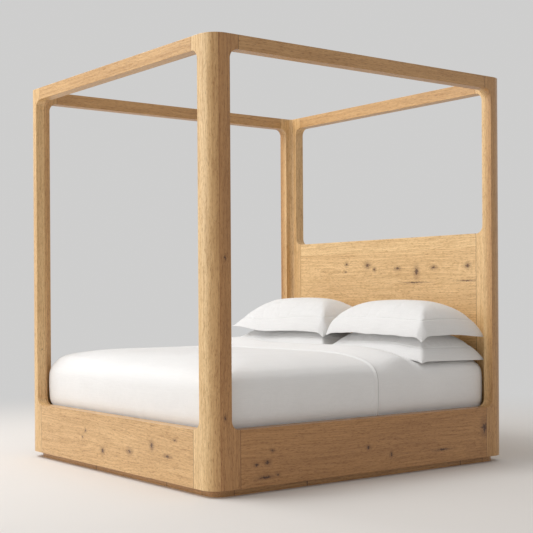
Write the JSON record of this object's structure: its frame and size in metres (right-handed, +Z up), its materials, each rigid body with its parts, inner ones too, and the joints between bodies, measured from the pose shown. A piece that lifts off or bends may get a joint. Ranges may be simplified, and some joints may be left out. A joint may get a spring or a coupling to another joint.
{
  "type": "four poster canopy bed",
  "caption": "Oak four poster bed with round-cornered posts, open canopy rails, board headboard, recessed plinth, slatted base on levelling legs, mattress, coverlet and pillows.",
  "frame": {"origin": "on the floor, under the middle of the bed", "axes": "+X across the bed to the right seen from the foot, +Y from foot to head, +Z up"},
  "size_m": [2.108, 2.21, 2.373],
  "materials": {
    "oak": "satin oiled",
    "oak_plinth": "satin oiled",
    "base_pine": "planed, unfinished",
    "tenon_beech": "planed, unfinished",
    "bronzed_steel": "satin bronze lacquer",
    "zinc_steel": "zinc plated",
    "pad_plastic": "matte",
    "sheet_cotton": "smooth cotton",
    "coverlet_cotton": "soft matelasse cotton",
    "pillow_linen": "washed cotton"
  },
  "bodies": {
    "bed": {"base_rail_foot": "oak", "base_rail_head": "oak", "base_rail_left": "oak", "base_rail_right": "oak", "beam_hangers": "bronzed_steel", "canopy_rail_foot": "oak", "canopy_rail_head": "oak", "canopy_rail_left": "oak", "canopy_rail_right": "oak", "centre_beam": "base_pine", "centre_leg_1": "base_pine", "centre_leg_2": "base_pine", "centre_leg_3": "base_pine", "connector_bolts": "zinc_steel", "coverlet": "coverlet_cotton", "headboard_board_1": "oak", "headboard_board_2": "oak", "headboard_board_3": "oak", "headboard_rail": "oak", "leg_inserts": "zinc_steel", "loose_tenons": "tenon_beech", "mattress": "sheet_cotton", "pillow_lower_left": "pillow_linen", "pillow_lower_right": "pillow_linen", "pillow_upper_left": "pillow_linen", "pillow_upper_right": "pillow_linen", "plinth_boards_foot": "oak_plinth", "plinth_boards_head": "oak_plinth", "plinth_boards_left": "oak_plinth", "plinth_boards_right": "oak_plinth", "plinth_corner_foot_left": "oak_plinth", "plinth_corner_foot_right": "oak_plinth", "plinth_corner_head_left": "oak_plinth", "plinth_corner_head_right": "oak_plinth", "post_foot_left": "oak", "post_foot_right": "oak", "post_head_left": "oak", "post_head_right": "oak", "slat_01": "base_pine", "slat_02": "base_pine", "slat_03": "base_pine", "slat_04": "base_pine", "slat_05": "base_pine", "slat_06": "base_pine", "slat_07": "base_pine", "slat_08": "base_pine", "slat_09": "base_pine", "slat_10": "base_pine", "slat_11": "base_pine", "slat_12": "base_pine", "slat_cleat_left": "base_pine", "slat_cleat_right": "base_pine", "tie_plates": "bronzed_steel"},
    "leveller_pad_1": {"leveller_pad_1": "pad_plastic"},
    "leveller_stem_1": {"leveller_stem_1": "zinc_steel"},
    "leveller_pad_2": {"leveller_pad_2": "pad_plastic"},
    "leveller_stem_2": {"leveller_stem_2": "zinc_steel"},
    "leveller_pad_3": {"leveller_pad_3": "pad_plastic"},
    "leveller_stem_3": {"leveller_stem_3": "zinc_steel"}
  },
  "joints": [
    {"name": "leveller_travel_1", "type": "slide", "parent": "bed", "child": "leveller_pad_1", "axis": [0, 0, -1], "range_m": [-0.0035, 0.0095]},
    {"name": "leveller_turn_1", "type": "hinge", "parent": "leveller_pad_1", "child": "leveller_stem_1", "pos_m": [0, -0.65, 0], "axis": [0, 0, -1], "range_deg": [-720, 2160]},
    {"name": "leveller_travel_2", "type": "slide", "parent": "bed", "child": "leveller_pad_2", "axis": [0, 0, -1], "range_m": [-0.0035, 0.0095]},
    {"name": "leveller_turn_2", "type": "hinge", "parent": "leveller_pad_2", "child": "leveller_stem_2", "pos_m": [0, 0, 0], "axis": [0, 0, -1], "range_deg": [-720, 2160]},
    {"name": "leveller_travel_3", "type": "slide", "parent": "bed", "child": "leveller_pad_3", "axis": [0, 0, -1], "range_m": [-0.0035, 0.0095]},
    {"name": "leveller_turn_3", "type": "hinge", "parent": "leveller_pad_3", "child": "leveller_stem_3", "pos_m": [0, 0.65, 0], "axis": [0, 0, -1], "range_deg": [-720, 2160]}
  ],
  "couplings": [
    {"joint": "leveller_travel_1", "follows": "leveller_turn_1", "m_per_rad": 0.00023873},
    {"joint": "leveller_travel_2", "follows": "leveller_turn_2", "m_per_rad": 0.00023873},
    {"joint": "leveller_travel_3", "follows": "leveller_turn_3", "m_per_rad": 0.00023873}
  ]
}
